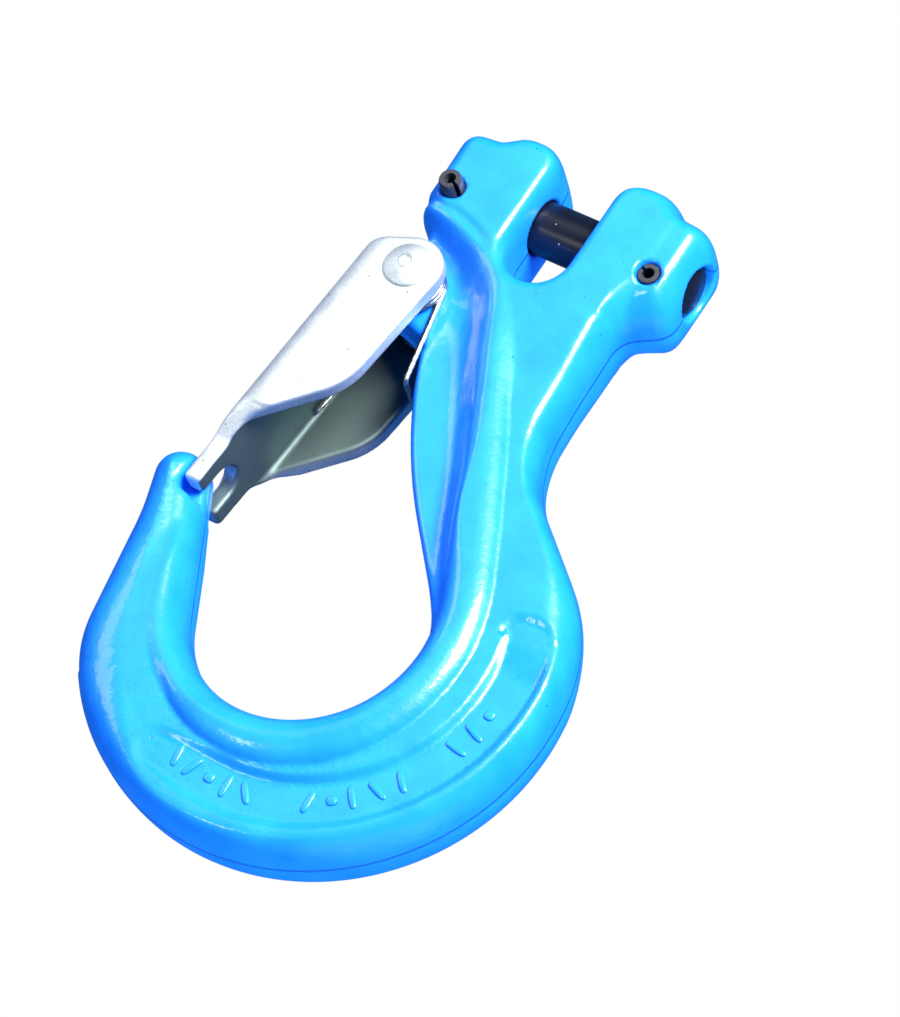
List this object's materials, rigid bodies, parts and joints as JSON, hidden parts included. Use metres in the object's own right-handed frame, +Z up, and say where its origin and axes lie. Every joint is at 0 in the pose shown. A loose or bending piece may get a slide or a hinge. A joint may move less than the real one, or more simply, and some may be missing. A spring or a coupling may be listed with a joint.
{
  "type": "clevis sling hook",
  "caption": "Forged clevis hook with a round bowl, a spring-closed fork latch and a cross pin that takes a chain link between two ears.",
  "frame": {"origin": "centre of the load pin, midway between the clevis ears", "axes": "+X along the load pin towards the bowl's back, +Y across the hook's thickness, +Z up the load line as the hook hangs"},
  "size_m": [0.0797, 0.025, 0.1276],
  "materials": {
    "blue_coating": "glossy blue powder coat on a forging",
    "black_steel": "black oxide, oiled",
    "zinc_plate": "zinc plated sheet, satin",
    "spring_wire": "drawn spring wire, zinc plated"
  },
  "bodies": {
    "hook": {"hook_body": "blue_coating", "retaining_pin_left": "black_steel", "retaining_pin_right": "black_steel"},
    "pin": {"load_pin": "black_steel"},
    "latch_set": {"latch": "zinc_plate", "latch_rivet": "zinc_plate", "latch_spring": "spring_wire"}
  },
  "joints": [
    {"name": "latch_hinge", "type": "hinge", "parent": "hook", "child": "latch_set", "pos_m": [-0.0157, 0, -0.0206], "axis": [0, -1, 0], "range_deg": [0, 40], "stiffness_Nm_per_rad": 0.05, "springref_deg": -34.38, "deforming": ["latch_spring"]},
    {"name": "load_pin_turn", "type": "hinge", "parent": "hook", "child": "pin", "pos_m": [0, 0, 0], "axis": [1, 0, 0], "continuous": true}
  ]
}
